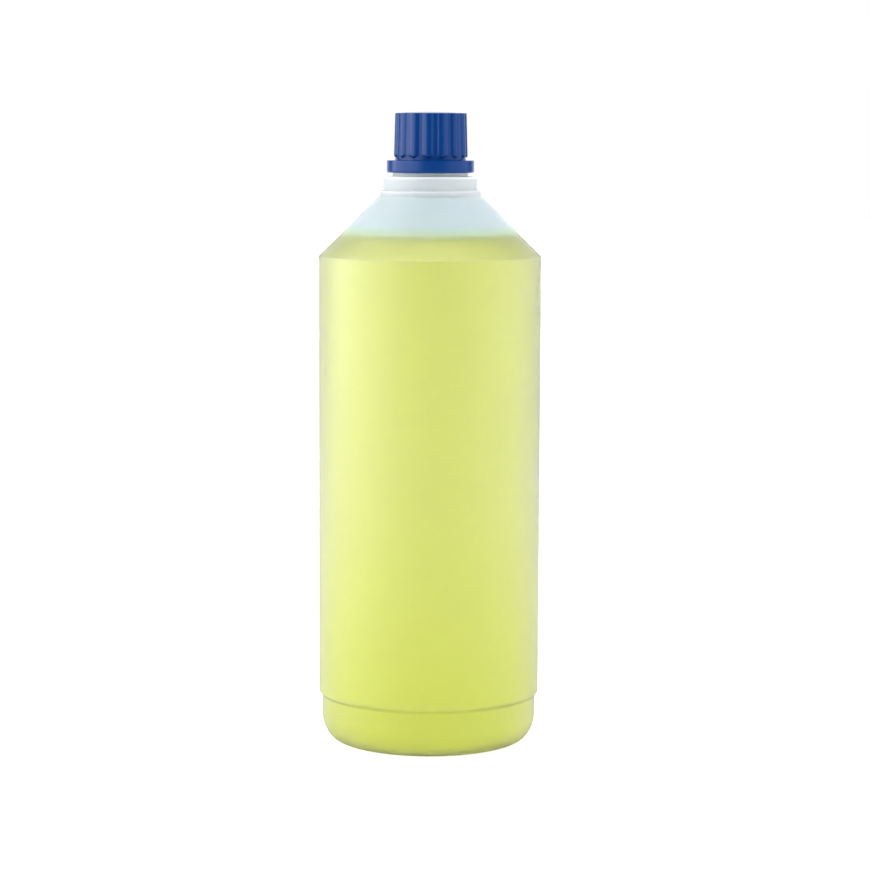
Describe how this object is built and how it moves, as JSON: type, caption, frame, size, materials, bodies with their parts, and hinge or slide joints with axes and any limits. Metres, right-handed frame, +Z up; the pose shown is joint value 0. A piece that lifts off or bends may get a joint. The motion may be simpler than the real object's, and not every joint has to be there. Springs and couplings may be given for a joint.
{
  "type": "detergent bottle",
  "caption": "Round translucent plastic bottle of yellow-green liquid detergent, closed by a ribbed blue screw cap.",
  "frame": {"origin": "centre of the standing ring, on the surface that the bottle stands on", "axes": "+Z up along the bottle's axis, -Y towards the viewer of the picture"},
  "size_m": [0.084, 0.084, 0.2388],
  "materials": {
    "natural_plastic": "milky translucent, soft gloss",
    "liquid": "clear yellow-green liquid",
    "blue_plastic": "satin moulded",
    "foam": "matte foam sheet"
  },
  "bodies": {
    "container": {"bottle": "natural_plastic", "detergent": "liquid"},
    "liner": {"cap_liner": "foam"},
    "cap": {"screw_cap": "blue_plastic"}
  },
  "joints": [
    {"name": "cap_rise", "type": "slide", "parent": "container", "child": "liner", "axis": [0, 0, 1], "range_m": [0, 0.0048]},
    {"name": "cap_turn", "type": "hinge", "parent": "liner", "child": "cap", "pos_m": [0, 0, 0.217], "axis": [0, 0, 1], "range_deg": [0, 540]}
  ],
  "couplings": [
    {"joint": "cap_rise", "follows": "cap_turn", "m_per_rad": 0.00050929}
  ]
}
